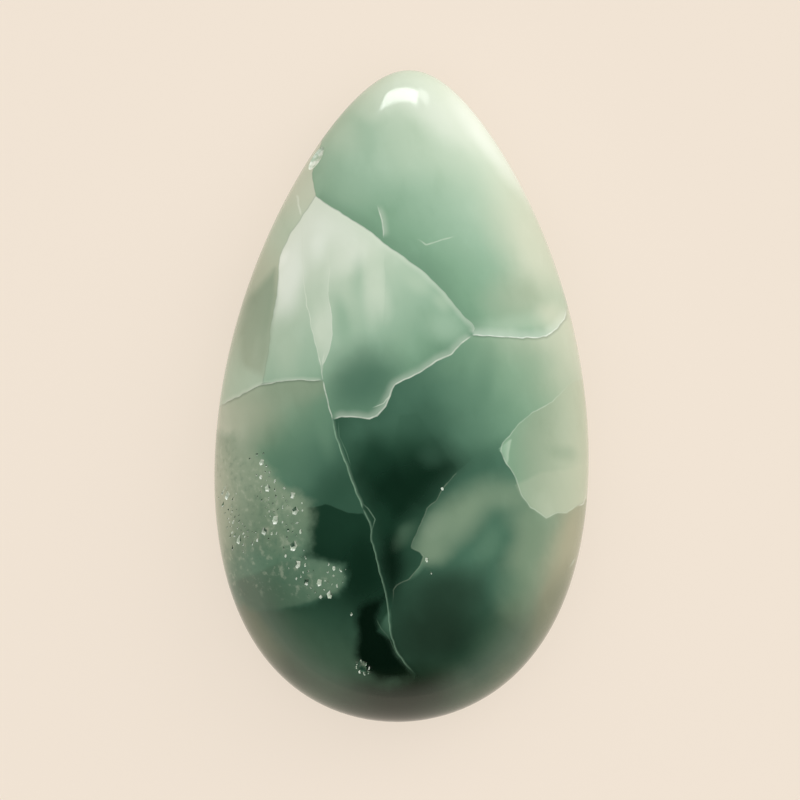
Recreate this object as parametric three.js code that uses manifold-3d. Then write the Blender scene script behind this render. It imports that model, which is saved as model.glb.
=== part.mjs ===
// A polished hemimorphite drop: one translucent green stone, domed in front and ground flat behind.
//
// Millimetres, +Z up. The stone lies on its ground back at Z = 0, its long axis runs along Y and its
// narrow tip points to +Y. The origin is the middle of the footprint, on the resting plane.
//
// The body is a sphere drawn out into an egg. A point (a, b, c) of the unit sphere goes to
//   y = b * length / 2
//   x = a * breadth(b) + lean
//   z = c * breadth(b) * flattening, above the girdle
// where breadth(b) is a short polynomial, so the outline is one smooth curve from tip to foot.
// Below, the egg eases onto the resting plane, which makes the flat back and its softened rim.
import * as THREE from "three";
import { mergeVertices } from "three/addons/utils/BufferGeometryUtils.js";
import Module from "manifold-3d";

// Outline of the stone seen from above
const LENGTH = 38;
const WAIST = 10.63; // breadth of one side, halfway along the stone
const TAPER = 2.52; // how much slimmer the tip side is than the foot side
const EVEN_EASE = 0.15; // small slimming of both ends alike
const TIP_DRAW = 0.88; // extra slimming, growing towards the tip
const TIP_LEAN = 0.36; // the tip sits this far to +X of the long axis

// Section of the stone
const FLATTENING = 0.62; // height of the dome over half its breadth
const GIRDLE_HEIGHT = 2.6; // widest level, above the resting plane
const RIM_SOFTENING = 0.35; // the ground back meets the flank over this band

// Fineness of the body
const SEGMENTS_AROUND = 72;
const SEGMENTS_ALONG = 48;

// Old flake scar beside the tip
const SCAR = { x: -4.98, y: 13.8, radii: [0.5, 0.95, 0.28], turn: -24, tilt: -38 };

// Small open vugs, each [x, y, width], where the crystal pocket breaks the polish
const VUGS = [
  [-10.15, -5.85, 0.42],
  [-8.1, -3.85, 0.4],
  [-7.75, -5.35, 0.46],
  [-6.3, -5.75, 0.44],
  [-6.15, -6.65, 0.52],
  [-7.3, -7.2, 0.5],
  [-9.45, -8.4, 0.44],
  [-7.95, -7.85, 0.48],
  [-6.25, -8.7, 0.56],
  [-6.0, -9.75, 0.46],
  [-5.5, -10.75, 0.42],
  [-4.75, -10.8, 0.4],
  [-4.15, -11.5, 0.44],
];
const VUG_DEPTH = 0.55; // share of a vug's width

// The one larger vug near the foot, a short row of crystal sockets
const FOOT_VUG = { x: -2.25, y: -15.75, width: 0.85, breadth: 0.5, turn: -38 };

const SHADE = { color: 0x6f9c82, roughness: 0.12, metalness: 0 };

/** Half breadth of the egg before it is rounded off, at b from -1 (foot) to 1 (tip). */
function breadth(b) {
  return WAIST - TAPER * b - EVEN_EASE * b ** 2 - TIP_DRAW * b ** 3;
}

/** Eases a height onto the resting plane: nothing is lower, and the rim is round, not sharp. */
function groundFlat(z) {
  if (z >= RIM_SOFTENING) return z;
  if (z <= -RIM_SOFTENING) return 0;
  return (z + RIM_SOFTENING) ** 2 / (4 * RIM_SOFTENING);
}

/** The polished body, as one closed geometry. */
function bodyGeometry() {
  const geometry = new THREE.SphereGeometry(1, SEGMENTS_AROUND, SEGMENTS_ALONG);
  geometry.deleteAttribute("normal");
  geometry.deleteAttribute("uv");
  const points = geometry.attributes.position;
  for (let i = 0; i < points.count; i++) {
    const b = points.getY(i);
    const wide = breadth(b);
    points.setXYZ(
      i,
      points.getX(i) * wide + TIP_LEAN * b,
      (b * LENGTH) / 2,
      groundFlat(GIRDLE_HEIGHT + points.getZ(i) * wide * FLATTENING),
    );
  }
  return geometry;
}

/** Height of the dome over a point of the plan. */
function domeHeight(x, y) {
  const b = (2 * y) / LENGTH;
  const wide = breadth(b);
  const a = (x - TIP_LEAN * b) / wide;
  const c = Math.sqrt(Math.max(0, 1 - b * b - a * a));
  return GIRDLE_HEIGHT + c * wide * FLATTENING;
}

/** Outward direction of the dome over a point of the plan. */
function domeNormal(x, y) {
  const step = 0.05;
  const slopeX = (domeHeight(x + step, y) - domeHeight(x - step, y)) / (2 * step);
  const slopeY = (domeHeight(x, y + step) - domeHeight(x, y - step)) / (2 * step);
  return new THREE.Vector3(-slopeX, -slopeY, 1).normalize();
}

/** Stands a tool's +Z along the dome's outward direction, its centre on the surface. */
function seatOnDome(geometry, x, y, turn) {
  const up = new THREE.Vector3(0, 0, 1);
  const stand = new THREE.Quaternion().setFromUnitVectors(up, domeNormal(x, y));
  return geometry
    .rotateZ(THREE.MathUtils.degToRad(turn))
    .applyQuaternion(stand)
    .translate(x, y, domeHeight(x, y));
}

/** A shallow shell-shaped flake bed. */
function scarTool() {
  const tool = new THREE.IcosahedronGeometry(1, 2)
    .scale(...SCAR.radii)
    .rotateX(THREE.MathUtils.degToRad(SCAR.tilt / 4));
  return seatOnDome(tool, SCAR.x, SCAR.y, SCAR.turn);
}

/** A little flat-faced socket, turned by its place in the row so that no two look alike. */
function vugTool([x, y, width], index) {
  const half = width / 2;
  const tool = new THREE.DodecahedronGeometry(1).scale(half, half * 0.8, width * VUG_DEPTH);
  return seatOnDome(tool, x, y, 37 * index);
}

/** The longer vug near the foot. */
function footVugTool() {
  const { x, y, width, breadth: across, turn } = FOOT_VUG;
  const tool = new THREE.DodecahedronGeometry(1).scale(width / 2, across / 2, across * VUG_DEPTH);
  return seatOnDome(tool, x, y, turn);
}

/** Turns a closed geometry into a solid. */
function solid(wasm, geometry) {
  const bare = geometry.clone();
  bare.deleteAttribute("normal");
  bare.deleteAttribute("uv");
  const merged = mergeVertices(bare, 1e-4);
  const corners = merged.index
    ? new Uint32Array(merged.index.array)
    : Uint32Array.from({ length: merged.attributes.position.count }, (_, i) => i);
  return new wasm.Manifold(
    new wasm.Mesh({
      numProp: 3,
      vertProperties: new Float32Array(merged.attributes.position.array),
      triVerts: corners,
    }),
  );
}

/** Turns a solid back into a geometry, centred over the origin in plan. */
function geometryOf(shape) {
  const mesh = shape.getMesh();
  const geometry = new THREE.BufferGeometry();
  geometry.setAttribute("position", new THREE.BufferAttribute(mesh.vertProperties, 3));
  geometry.setIndex(new THREE.BufferAttribute(mesh.triVerts, 1));
  geometry.computeBoundingBox();
  const middle = geometry.boundingBox.getCenter(new THREE.Vector3());
  geometry.translate(-middle.x, -middle.y, -geometry.boundingBox.min.z);
  geometry.computeVertexNormals();
  return geometry;
}

/** The finished stone: the polished body less its scar and vugs. */
function hemimorphiteStone(wasm) {
  const tools = [scarTool(), footVugTool(), ...VUGS.map(vugTool)];
  const body = tools.reduce(
    (shape, tool) => shape.subtract(solid(wasm, tool)),
    solid(wasm, bodyGeometry()),
  );
  const stone = new THREE.Mesh(geometryOf(body), new THREE.MeshStandardMaterial(SHADE));
  stone.name = "hemimorphite_stone";
  return stone;
}

const wasm = await Module();
wasm.setup();

const group = new THREE.Group();
group.name = "hemimorphite";
group.add(hemimorphiteStone(wasm));

export default group;
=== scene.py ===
"""Looks of a polished hemimorphite drop: a domed green stone with healed cracks and a crystal pocket.

The stone is one piece. Its body repeats the frame's egg from the same sizes, much finer, and its cracks,
panes and clouds are laid out in millimetres on the dome, from where they run on through to the back.
"""

import logging
import math
import random
from collections.abc import Sequence
from dataclasses import dataclass, field
from enum import Enum

import bpy
import numpy as np
from mathutils import Matrix, Vector, noise


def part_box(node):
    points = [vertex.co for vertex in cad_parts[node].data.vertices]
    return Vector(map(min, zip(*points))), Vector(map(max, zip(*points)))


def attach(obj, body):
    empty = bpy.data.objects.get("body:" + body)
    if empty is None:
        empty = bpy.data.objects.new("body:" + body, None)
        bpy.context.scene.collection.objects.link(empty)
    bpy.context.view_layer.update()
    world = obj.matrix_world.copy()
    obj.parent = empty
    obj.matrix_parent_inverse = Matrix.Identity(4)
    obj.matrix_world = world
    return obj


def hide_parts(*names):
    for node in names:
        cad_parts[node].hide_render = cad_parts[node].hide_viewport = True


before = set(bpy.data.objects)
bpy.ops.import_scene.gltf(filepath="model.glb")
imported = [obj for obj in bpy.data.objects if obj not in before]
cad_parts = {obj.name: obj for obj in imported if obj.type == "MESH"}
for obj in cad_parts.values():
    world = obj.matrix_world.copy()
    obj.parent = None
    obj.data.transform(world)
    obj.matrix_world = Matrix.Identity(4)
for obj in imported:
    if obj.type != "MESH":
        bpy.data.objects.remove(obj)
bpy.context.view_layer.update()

log = logging.getLogger("hemimorphite")

MM = 0.001
FAR = 60.0  # millimetres, well outside the stone
REFRACTION = 1.61  # index of hemimorphite

Point = tuple[float, float]
Route = tuple[Point, ...]
Socket = bpy.types.NodeSocket
Value = float | Socket


class Tint(Enum):
    """The stone's colours, from its milky cap to its near-black heart."""

    SNOW = "#F4FBEF"
    MILK = "#E0E9D8"
    FROST = "#D0DEC9"
    MIST = "#B7CDB4"
    MINT = "#A2C0A6"
    CELADON = "#8FB296"
    SAGE = "#7EA487"
    FERN = "#70957A"
    JADE = "#5D836B"
    PINE = "#4A705B"
    BOTTLE = "#305340"
    DEEP = "#1B3A2A"
    INK = "#102A1C"
    NIGHT = "#08190F"
    SAND = "#CBD2BB"
    CREAM = "#BEC5AB"
    WILLOW = "#A8B89E"
    LICHEN = "#92A68C"
    MOSS = "#7C947A"
    HAZE = "#6A866D"
    DRIFT = "#A3A387"
    # The darkest tint of the painted shade at the foot.
    BARK = "#777D64"
    SHADE_BLACK = "#182718"
    MURK = "#23392B"
    FEN = "#4A6450"

    def linear(self) -> tuple[float, float, float, float]:
        """The tint as a scene colour, opaque."""
        channels = [int(self.value[i : i + 2], 16) / 255 for i in (1, 3, 5)]
        return (*(srgb_to_linear(c) for c in channels), 1.0)


def srgb_to_linear(channel: float) -> float:
    """Undoes the display curve of one channel, from 0 to 1."""
    return channel / 12.92 if channel <= 0.04045 else ((channel + 0.055) / 1.055) ** 2.4


# Routes on the dome, in millimetres, as seen from above. The long crack and its arms part the stone.
CAP_SEAM: Route = (
    (-5.0, 11.6), (-3.35, 10.52), (-2.2, 9.76), (-1.2, 8.95), (0.14, 8.1),
    (1.28, 7.16), (2.48, 5.96), (3.33, 4.92), (4.25, 3.95), (4.1, 3.5),
)
SHELF: Route = (
    (4.1, 3.5), (5.75, 3.45), (6.9, 3.4), (8.35, 3.5), (9.05, 3.9), (9.55, 4.45), (9.7, 5.2),
)
BRANCH: Route = (
    (4.1, 3.5), (3.4, 2.95), (2.85, 2.4), (1.95, 2.0), (1.1, 1.45), (0.3, 1.0), (-0.4, 0.6),
    (-0.65, 0.05), (-0.95, -0.5), (-1.45, -1.05), (-1.85, -1.25), (-2.7, -1.15), (-3.45, -1.15),
    (-3.95, -1.3),
)
LONG_TOP: Route = (
    (-5.75, 10.55), (-5.7, 8.2), (-5.7, 6.75), (-5.5, 5.3), (-5.25, 4.15), (-4.9, 2.7), (-4.7, 1.8),
    (-4.6, 0.95),
)
LONG_MIDDLE: Route = ((-4.6, 0.95), (-4.3, -0.25), (-3.95, -1.3))
LONG_HEART: Route = (
    (-3.95, -1.3), (-3.75, -2.25), (-3.45, -3.3), (-3.0, -4.6), (-2.55, -5.6), (-2.15, -6.5),
)
LONG_FOOT: Route = (
    (-2.15, -6.5), (-1.8, -7.25), (-1.7, -7.8), (-1.7, -8.4), (-1.4, -9.4), (-1.1, -10.45),
    (-0.9, -11.45), (-0.8, -12.2), (-0.75, -13.05), (-0.6, -13.95), (-0.25, -14.8), (0.35, -15.7),
    (0.8, -16.05),
)
LEFT_ARM: Route = (
    (-10.65, -0.65), (-10.0, -0.25), (-9.1, 0.25), (-8.15, 0.7), (-7.1, 0.85), (-5.9, 0.95),
    (-4.6, 0.95),
)
FLANK_EDGE: Route = (
    (-5.0, 11.6), (-5.5, 10.85), (-5.9, 10.15), (-6.4, 9.4), (-6.95, 8.2), (-7.15, 7.35),
    (-7.25, 6.2), (-7.35, 5.0), (-7.6, 3.85), (-7.7, 2.7), (-7.85, 1.5), (-7.95, 0.8),
)
LEAF_EDGE: Route = (
    (-4.25, 9.95), (-4.15, 7.35), (-4.25, 5.9), (-4.0, 4.7), (-3.95, 3.55), (-4.1, 2.85),
    (-4.35, 2.25), (-4.7, 1.7),
)
MIDDLE_STEP: Route = (
    (-5.05, -6.45), (-4.45, -6.25), (-3.75, -6.45), (-3.0, -6.7), (-2.15, -6.75),
)
CLOUD_EDGE: Route = (
    (3.2, -4.4), (2.35, -5.3), (1.95, -6.05), (1.5, -6.45), (1.2, -7.25), (0.9, -7.95),
    (0.6, -8.7), (1.1, -9.0), (1.35, -9.25), (1.1, -9.85), (0.5, -10.45), (-0.25, -10.85),
    (-0.45, -11.15), (-0.5, -12.2),
)
SIDE_PANE: Route = (
    (10.5, 0.95), (9.8, 0.65), (8.65, -0.25), (7.5, -0.95), (6.6, -1.8), (5.85, -2.7),
    (5.75, -3.15), (6.1, -3.85), (6.45, -4.45), (6.75, -5.2), (6.95, -5.8), (7.5, -6.4),
    (8.4, -7.0), (9.0, -6.72), (9.6, -6.78), (10.2, -6.35), (10.7, -5.95),
)
POCKET_EDGE: Route = (
    (-9.7, -2.1), (-8.7, -3.15), (-7.35, -4.6), (-6.2, -5.5), (-5.2, -6.2), (-5.05, -6.95),
    (-5.2, -8.1), (-5.6, -9.25), (-4.45, -9.55), (-3.45, -9.85), (-3.3, -10.7), (-3.9, -11.4),
    (-5.35, -11.9), (-6.8, -12.1), (-8.55, -12.1),
)
FOOT_ARM: Route = (
    (-1.45, -12.75), (-1.25, -13.35), (-0.85, -13.75), (-0.55, -14.35), (-0.25, -14.9),
    (0.5, -15.8), (0.8, -16.05),
)
HEART_TWIN: Route = ((-3.6, -1.4), (-3.55, -2.3), (-3.15, -3.35), (-2.95, -4.1))
HEART_LOOP: Route = ((-2.17, -6.2), (-1.86, -6.47), (-1.5, -7.1), (-1.7, -7.8))
FLANK_NICK: Route = ((-6.05, 11.75), (-5.97, 11.1), (-5.8, 10.4))
CAP_ARC: Route = ((-1.45, 11.0), (-1.15, 10.15), (-1.1, 9.1))
CAP_STREAK: Route = ((0.9, 9.12), (1.5, 8.72), (2.3, 8.98), (3.1, 9.22))
BRANCH_TWIG: Route = ((-1.72, -0.63), (-1.05, -0.36), (-0.74, -0.05), (-0.55, 0.4))
LEAF_TIP: Route = ((-4.4, 2.7), (-4.6, 2.05), (-4.66, 1.15))
# Small chips on the right rim; the threads drawn on them are their painted glints.
SIDE_NICK_GLINT: Route = ((10.75, -5.7), (10.55, -6.2), (10.15, -6.45))
RIM_GLINT: Route = ((10.15, -9.3), (9.95, -9.75), (9.75, -10.0))


@dataclass(frozen=True)
class Crack:
    """A healed crack: a bright thread in the polish, with a pale band left of it and a dark one right.

    Attributes:
        name: what it is called, also in its mesh attribute.
        route: its points on the dome, in millimetres.
        width: breadth of the thread, in millimetres.
        glow: strength of the thread, from 0 to 1.
        tint: colour of the thread.
        veil_and_sheen: breadth of the pale band on the route's left, in millimetres: partly the crack's milky
            sheet, partly painted reflection of that sheet.
        shade: breadth of the painted shadow band on the route's right, in millimetres.
        depth: strength of the painted shadow band, from 0 to 1.
        ends: length over which it fades in and out, in millimetres.
    """

    name: str
    route: Route
    width: float
    glow: float
    tint: Tint = Tint.MILK
    veil_and_sheen: float = 0.0
    shade: float = 0.0
    depth: float = 0.4
    ends: Point = (0.4, 0.4)


# Each crack's shade band is painted shadow, and its pale veil band is partly the milky sheet and partly its
# painted reflection.
CRACKS = (
    Crack("cap_seam", CAP_SEAM[::-1], 0.06, 0.25, veil_and_sheen=0.4, shade=0.9, depth=0.16, ends=(0.3, 0.3)),
    Crack("shelf", SHELF, 0.1, 0.7, Tint.SNOW, veil_and_sheen=0.6, shade=0.2, ends=(0.1, 0.8)),
    Crack("branch", BRANCH[::-1], 0.12, 0.68, veil_and_sheen=0.5),
    Crack("leaf_edge", LEAF_EDGE[::-1], 0.08, 0.6, veil_and_sheen=0.5, ends=(0.4, 4.5)),
    Crack("long_top", LONG_TOP, 0.08, 0.7, ends=(0.7, 0.2)),
    Crack("long_middle", LONG_MIDDLE, 0.11, 0.72, ends=(0.2, 0.2)),
    Crack("long_heart", LONG_HEART, 0.11, 0.75, Tint.CELADON, veil_and_sheen=0.2, ends=(0.2, 0.2)),
    Crack("long_foot", LONG_FOOT, 0.08, 0.42, Tint.CELADON, veil_and_sheen=0.12, ends=(0.2, 1.2)),
    Crack("left_arm", LEFT_ARM, 0.09, 0.68, veil_and_sheen=0.25, shade=0.2, ends=(0.6, 0.3)),
    Crack("heart_twin", HEART_TWIN, 0.08, 0.4, Tint.FERN),
    Crack("heart_loop", HEART_LOOP, 0.09, 0.4, Tint.CELADON),
    Crack("flank_nick", FLANK_NICK, 0.15, 0.85, ends=(0.2, 0.3)),
    Crack("cap_arc", CAP_ARC, 0.11, 0.8, veil_and_sheen=0.5, ends=(0.5, 0.4)),
    Crack("cap_streak", CAP_STREAK, 0.12, 0.5, Tint.FROST, ends=(0.7, 0.5)),
    Crack("branch_twig", BRANCH_TWIG, 0.09, 0.7, Tint.FROST),
    Crack("side_pane", SIDE_PANE, 0.1, 0.4, Tint.FROST, ends=(3.0, 1.0)),
    Crack("cloud_edge", CLOUD_EDGE, 0.1, 0.22, Tint.WILLOW, ends=(0.4, 1.5)),
    Crack("foot_arm", FOOT_ARM, 0.09, 0.35, Tint.HAZE, ends=(0.4, 0.6)),
    Crack("leaf_tip", LEAF_TIP, 0.12, 0.5, ends=(0.6, 0.4)),
    # Painted glints of two small chips on the right rim.
    Crack("side_nick_glint", SIDE_NICK_GLINT, 0.12, 0.6),
    Crack("rim_glint", RIM_GLINT, 0.14, 0.5, Tint.FROST),
)


@dataclass(frozen=True)
class Cloud:
    """A soft patch of colour in the stone.

    Attributes:
        place: its middle on the dome, in millimetres.
        reach: half its length and half its breadth, in millimetres.
        tint: its colour.
        strength: how much it covers in its middle, from 0 to 1.
        turn: degrees from +X to its length, anticlockwise.
        depth: half its height through the stone, in millimetres.
    """

    place: Point
    reach: Point
    tint: Tint
    strength: float = 1.0
    turn: float = 0.0
    depth: float = 9.0


@dataclass(frozen=True)
class Grade:
    """A slow change of colour along a line.

    Attributes:
        start: where the first tint lies, in millimetres.
        end: where the last tint lies, in millimetres.
        tints: the colours, evenly spaced along the line.
    """

    start: Point
    end: Point
    tints: tuple[Tint, ...]


@dataclass(frozen=True)
class Pane:
    """A part of the stone between cracks, with clouds of its own that stop at its edge.

    Attributes:
        name: what it is called, also in its mesh attribute.
        outline: its edge on the dome, in millimetres.
        ground: the colours that fill it before its clouds, or none.
        clouds: its clouds, the first lowest.
        edge: breadth over which it fades at its outline, in millimetres.
        wisps: how far noise frays its edge, in millimetres.
        cover: how much it hides of what is under it, from 0 to 1.
    """

    name: str
    outline: Route
    ground: Grade | None
    clouds: tuple[Cloud, ...] = ()
    edge: float = 0.12
    wisps: float = 0.0
    cover: float = 1.0


RIGHT_BODY = Pane(
    "right_body",
    (
        *LONG_HEART[::-1], *BRANCH[::-1], *SHELF, (9.9, 6.2), (FAR, 9.0), (FAR, -FAR), (0.8, -FAR),
        *LONG_FOOT[::-1],
    ),
    Grade((10.2, 3.5), (0.0, -3.6), (Tint.SAND, Tint.WILLOW, Tint.SAGE, Tint.JADE, Tint.PINE, Tint.BOTTLE)),
    (
        Cloud((2.9, 1.8), (3.4, 1.2), Tint.FERN, 0.5, turn=32),
        Cloud((0.6, -0.4), (2.2, 3.4), Tint.PINE, 0.6, turn=-30),
        Cloud((4.6, 0.4), (0.9, 3.6), Tint.JADE, 0.4, turn=-14),
        Cloud((5.4, -3.9), (2.8, 1.8), Tint.PINE, 0.7, turn=20),
        Cloud((7.0, 1.6), (3.0, 1.5), Tint.SAGE, 0.3, turn=10),
        Cloud((4.4, -4.2), (2.2, 2.2), Tint.BOTTLE, 0.5),
        Cloud((1.4, -1.4), (2.4, 1.6), Tint.BOTTLE, 0.4),
        Cloud((-2.4, -2.2), (1.6, 2.6), Tint.PINE, 0.4),
    ),
)
HEART = Pane(
    "heart",
    (
        (-1.6, -1.4), (0.2, -1.6), (2.2, -2.4), (3.4, -4.1), (2.6, -5.0), (2.0, -5.8), (1.3, -6.6),
        (0.9, -8.0), (0.6, -9.6), (0.0, -10.9), (-0.7, -12.0), *LONG_FOOT[5::-1], (-2.9, -4.6), (-2.6, -2.6),
    ),
    Grade((-0.2, -1.2), (0.6, -5.0), (Tint.PINE, Tint.BOTTLE, Tint.DEEP, Tint.INK, Tint.INK)),
    (
        Cloud((0.7, -8.2), (1.7, 2.0), Tint.BOTTLE, 0.9),
        Cloud((-0.9, -7.0), (0.9, 1.8), Tint.DEEP, 0.7),
        Cloud((-0.7, -10.0), (1.3, 2.9), Tint.NIGHT, 0.8, turn=-6),
        Cloud((-1.6, -3.6), (1.4, 2.2), Tint.DEEP, 0.7),
        Cloud((0.25, -7.9), (1.5, 0.7), Tint.HAZE, 0.3, turn=50),
        Cloud((1.7, -3.3), (1.3, 1.1), Tint.PINE, 0.35),
        Cloud((-2.5, -3.2), (0.8, 1.2), Tint.BOTTLE, 0.4),
    ),
    edge=2.6,
    wisps=0.25,
)
HEART_PLANE = Pane(
    "heart_plane",
    (
        (-0.13, -1.1), (0.95, -1.0), (2.0, -2.5), (3.15, -4.3), (2.3, -5.3), (1.2, -6.6), (-0.2, -5.0),
        (-0.4, -2.4),
    ),
    Grade((0.2, -1.0), (1.4, -5.0), (Tint.BOTTLE, Tint.INK)),
    edge=0.3,
    cover=0.25,
)
CLOUD_BODY = Pane(
    "cloud_body",
    (*CLOUD_EDGE, *LONG_FOOT[7:], (0.8, -FAR), (FAR, -FAR), (FAR, -2.0), (6.0, -2.0)),
    None,
    (
        Cloud((6.0, -8.6), (8.0, 7.0), Tint.PINE, 1.0),
        Cloud((2.0, -13.8), (6.0, 4.8), Tint.MURK, 1.0, turn=20),
        Cloud((3.2, -11.1), (3.6, 2.0), Tint.MURK, 0.65, turn=14),
        Cloud((9.6, -9.0), (3.8, 9.0), Tint.DRIFT, 1.0, turn=-24),
        Cloud((8.8, -12.6), (3.2, 4.0), Tint.BARK, 0.85, turn=-30),
        Cloud((7.6, -9.0), (2.0, 5.0), Tint.MOSS, 0.9, turn=-20),
        Cloud((7.6, -7.0), (2.6, 1.6), Tint.MOSS, 0.8),
        Cloud((3.4, -6.9), (4.3, 1.8), Tint.MOSS, 1.0, turn=40),
        Cloud((6.6, -5.7), (3.2, 1.25), Tint.MOSS, 0.75, turn=10),
        Cloud((1.7, -8.7), (1.7, 1.5), Tint.MOSS, 0.9),
        Cloud((1.8, -7.5), (1.2, 0.9), Tint.LICHEN, 0.35, turn=40),
        Cloud((0.9, -10.0), (1.1, 0.45), Tint.FERN, 0.5, turn=48),
        Cloud((5.1, -8.6), (1.4, 1.6), Tint.FERN, 0.3, turn=-30),
        Cloud((6.0, -14.0), (3.4, 2.0), Tint.FEN, 0.8, turn=42),
        Cloud((6.9, -11.6), (1.6, 2.2), Tint.HAZE, 0.5),
        Cloud((5.9, -10.9), (1.3, 1.9), Tint.PINE, 0.5),
    ),
    wisps=0.1,
)
LEFT_BODY = Pane(
    "left_body",
    (*LEFT_ARM, *LONG_MIDDLE, *LONG_HEART, *MIDDLE_STEP[::-1], (-FAR, -6.45), (-FAR, -1.2)),
    Grade(
        (-9.4, -0.2),
        (-4.2, -6.0),
        (Tint.WILLOW, Tint.LICHEN, Tint.FERN, Tint.JADE, Tint.PINE, Tint.BOTTLE),
    ),
    (
        Cloud((-10.6, -3.4), (2.2, 4.6), Tint.SAND, 0.9),
        Cloud((-8.6, -1.2), (2.6, 2.6), Tint.CREAM, 0.35),
        Cloud((-6.0, 0.6), (4.4, 1.3), Tint.LICHEN, 0.7, turn=12),
        Cloud((-4.0, -5.3), (1.8, 1.5), Tint.BOTTLE, 0.5),
        Cloud((-4.4, -1.8), (1.0, 2.6), Tint.FERN, 0.5, turn=14),
        Cloud((-6.6, -4.2), (2.0, 1.4), Tint.JADE, 0.5, turn=-30),
    ),
)
LEFT_FOOT = Pane(
    "left_foot",
    (*MIDDLE_STEP, *LONG_FOOT[1:], (0.8, -FAR), (-FAR, -FAR), (-FAR, -6.45)),
    Grade((-3.2, -6.6), (-5.4, -14.6), (Tint.DEEP, Tint.DEEP, Tint.INK, Tint.BOTTLE, Tint.FEN)),
    (
        Cloud((-2.4, -10.0), (1.8, 3.4), Tint.INK, 0.9),
        Cloud((-7.6, -12.6), (4.2, 2.0), Tint.FEN, 0.5, turn=-34),
        Cloud((-9.2, -12.8), (1.2, 5.4), Tint.BARK, 0.6, turn=32),
    ),
)
POCKET = Pane(
    "pocket",
    (*POCKET_EDGE, (-FAR, -10.5), (-FAR, -1.6)),
    Grade(
        (-8.6, -3.2),
        (-6.4, -12.2),
        (Tint.LICHEN, Tint.LICHEN, Tint.MOSS, Tint.HAZE, Tint.JADE, Tint.PINE),
    ),
    (
        Cloud((-10.8, -6.0), (1.8, 6.0), Tint.CREAM, 0.65),
        Cloud((-8.6, -9.6), (2.0, 1.3), Tint.JADE, 0.6),
        Cloud((-8.4, -11.4), (4.4, 1.4), Tint.FEN, 0.6),
        Cloud((-4.6, -10.8), (1.6, 1.1), Tint.HAZE, 0.8),
        Cloud((-6.8, -7.2), (1.8, 3.0), Tint.MOSS, 0.6),
        Cloud((-6.6, -6.2), (1.0, 1.2), Tint.LICHEN, 0.5),
    ),
    edge=0.9,
    wisps=0.55,
)
POCKET_LOBE = Pane(
    "pocket_lobe",
    (
        (-5.6, -9.4), (-4.45, -9.55), (-3.55, -9.8), (-3.25, -10.5), (-3.7, -11.3), (-5.0, -11.75),
        (-6.3, -12.1), (-7.6, -12.25), (-9.0, -12.1), (-9.6, -10.8), (-7.6, -9.8),
    ),
    Grade((-9.2, -11.8), (-4.0, -10.3), (Tint.FEN, Tint.HAZE)),
    edge=0.3,
    wisps=0.2,
    cover=0.6,
)
ALMOND = Pane(
    "almond",
    (
        (-1.8, -11.85), (-2.5, -12.2), (-2.6, -12.9), (-2.55, -14.05), (-2.75, -14.9),
        (-2.3, -15.85), (-0.95, -16.45), (0.6, -16.3), *FOOT_ARM[::-1], (-0.95, -11.5),
    ),
    Grade((-1.8, -12.0), (-1.0, -16.0), (Tint.NIGHT, Tint.NIGHT)),
    edge=0.7,
    wisps=0.3,
)
FOOT_FACET = Pane(
    "foot_facet",
    ((-1.45, -13.5), (-0.95, -12.7), (-0.66, -12.3), (-0.61, -14.0)),
    Grade((-1.4, -13.4), (-0.6, -12.8), (Tint.BOTTLE, Tint.JADE)),
    edge=0.25,
    cover=0.5,
)
# Darker at the foot's end: partly the stone's own dark green, partly painted shade where the foot turns away
# from the light.
FOOT_DARK_AND_SHADE = Pane(
    "foot_dark_and_shade",
    (
        (-2.9, -16.2), (-0.6, -16.6), (0.8, -15.9), (3.4, -15.6), (4.6, -17.4), (3.0, -FAR),
        (-5.0, -FAR), (-5.4, -17.2),
    ),
    Grade((-4.0, -17.0), (4.0, -17.0), (Tint.FEN, Tint.SHADE_BLACK, Tint.SHADE_BLACK, Tint.SHADE_BLACK, Tint.FEN)),
    edge=1.8,
    wisps=0.4,
)
# Darker along the foot's rim: partly the stone's own colour, partly painted shade where the foot turns away
# from the light.
FOOT_HAZE_AND_SHADE = Pane(
    "foot_haze_and_shade",
    (
        (-FAR, -11.6), (-8.8, -13.4), (-5.8, -16.2), (-2.0, -17.9), (2.0, -18.0), (5.6, -16.0),
        (FAR, -9.0), (FAR, -FAR), (-FAR, -FAR),
    ),
    Grade((-8.6, -15.0), (7.6, -15.0), (Tint.BARK, Tint.FEN, Tint.SHADE_BLACK, Tint.SHADE_BLACK, Tint.FEN, Tint.BARK)),
    (Cloud((-6.2, -15.9), (2.6, 1.5), Tint.MURK, 0.7, turn=-36),),
    edge=2.4,
    wisps=0.6,
)
SIDE = Pane(
    "side_pane",
    (*SIDE_PANE, (FAR, -6.0), (FAR, 1.0)),
    Grade((5.9, -3.6), (10.9, -3.6), (Tint.SAGE, Tint.LICHEN, Tint.WILLOW, Tint.CREAM)),
    (Cloud((9.4, -3.4), (1.4, 0.7), Tint.LICHEN, 0.6, turn=-20),),
    edge=0.14,
)
SIDE_LOW = Pane(
    "side_low",
    ((6.6, -5.2), (8.0, -4.5), (9.6, -4.3), (11.0, -3.6), (FAR, -3.4), (FAR, -6.1), *SIDE_PANE[:-8:-1]),
    Grade((6.6, -5.6), (10.9, -5.6), (Tint.WILLOW, Tint.CREAM)),
    edge=0.3,
    cover=0.45,
)
SIDE_FACET = Pane(
    "side_facet",
    ((5.6, -3.05), (5.87, -3.3), (6.14, -3.95), (6.26, -3.05), (6.35, -2.4)),
    Grade((5.6, -3.0), (6.3, -3.0), (Tint.CELADON, Tint.MIST)),
    edge=0.12,
    cover=0.7,
)
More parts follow.
